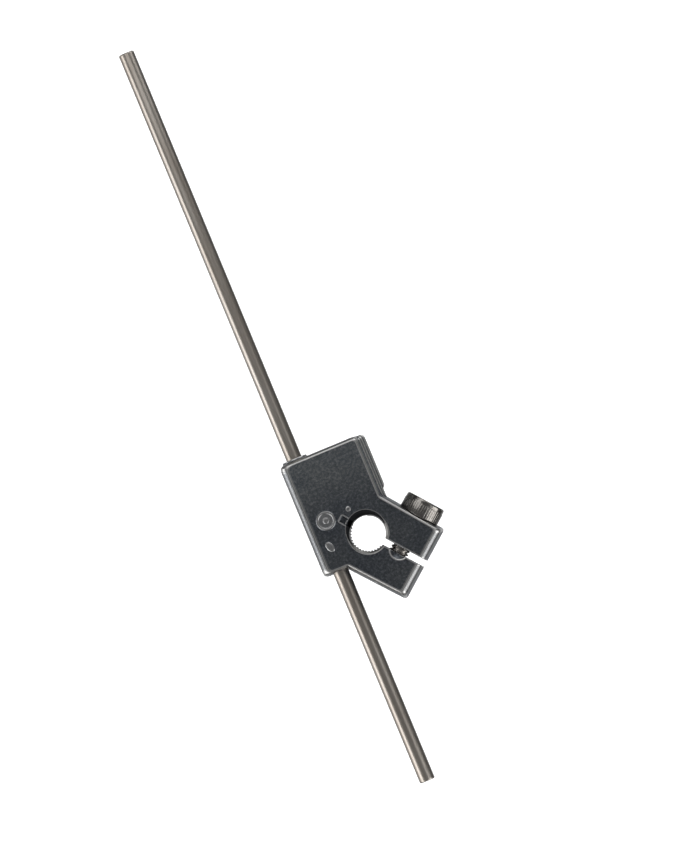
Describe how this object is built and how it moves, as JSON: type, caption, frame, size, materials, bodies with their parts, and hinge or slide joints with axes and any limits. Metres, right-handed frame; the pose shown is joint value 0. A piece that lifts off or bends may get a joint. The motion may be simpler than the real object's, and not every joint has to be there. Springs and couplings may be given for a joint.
{
  "type": "rod probe with split clamp holder",
  "caption": "Straight round metal rod locked in a die-cast holder whose split clamp arm, toothed bore and socket-head screw grip a shaft.",
  "frame": {"origin": "the clamp bore's axis at the holder's back face", "axes": "+Y along the rod towards its long end, +Z along the clamp bore's axis out of the front face, +X from the rod towards the clamp arm"},
  "size_m": [0.027, 0.1571, 0.0093],
  "materials": {
    "die_cast": "satin",
    "rod_steel": "satin",
    "screw_steel": "satin",
    "black_steel": "satin"
  },
  "bodies": {
    "holder": {"clamp_holder": "die_cast"},
    "rod": {"probe_rod": "rod_steel"},
    "clamp_bolt": {"clamp_screw": "screw_steel"},
    "grub": {"rod_set_screw": "black_steel"}
  },
  "joints": [
    {"name": "rod_slide", "type": "slide", "parent": "holder", "child": "rod", "axis": [0, 1, 0], "range_m": [-0.0875, 0.0445]},
    {"name": "clamp_screw_turn", "type": "hinge", "parent": "holder", "child": "clamp_bolt", "pos_m": [0.01072, -0.00039, 0.0045], "axis": [0.7771, 0.6293, 0], "range_deg": [0, 540]},
    {"name": "set_screw_turn", "type": "hinge", "parent": "holder", "child": "grub", "pos_m": [-0.00798, 0.012, 0], "axis": [0, 0, -1], "range_deg": [0, 360]}
  ]
}
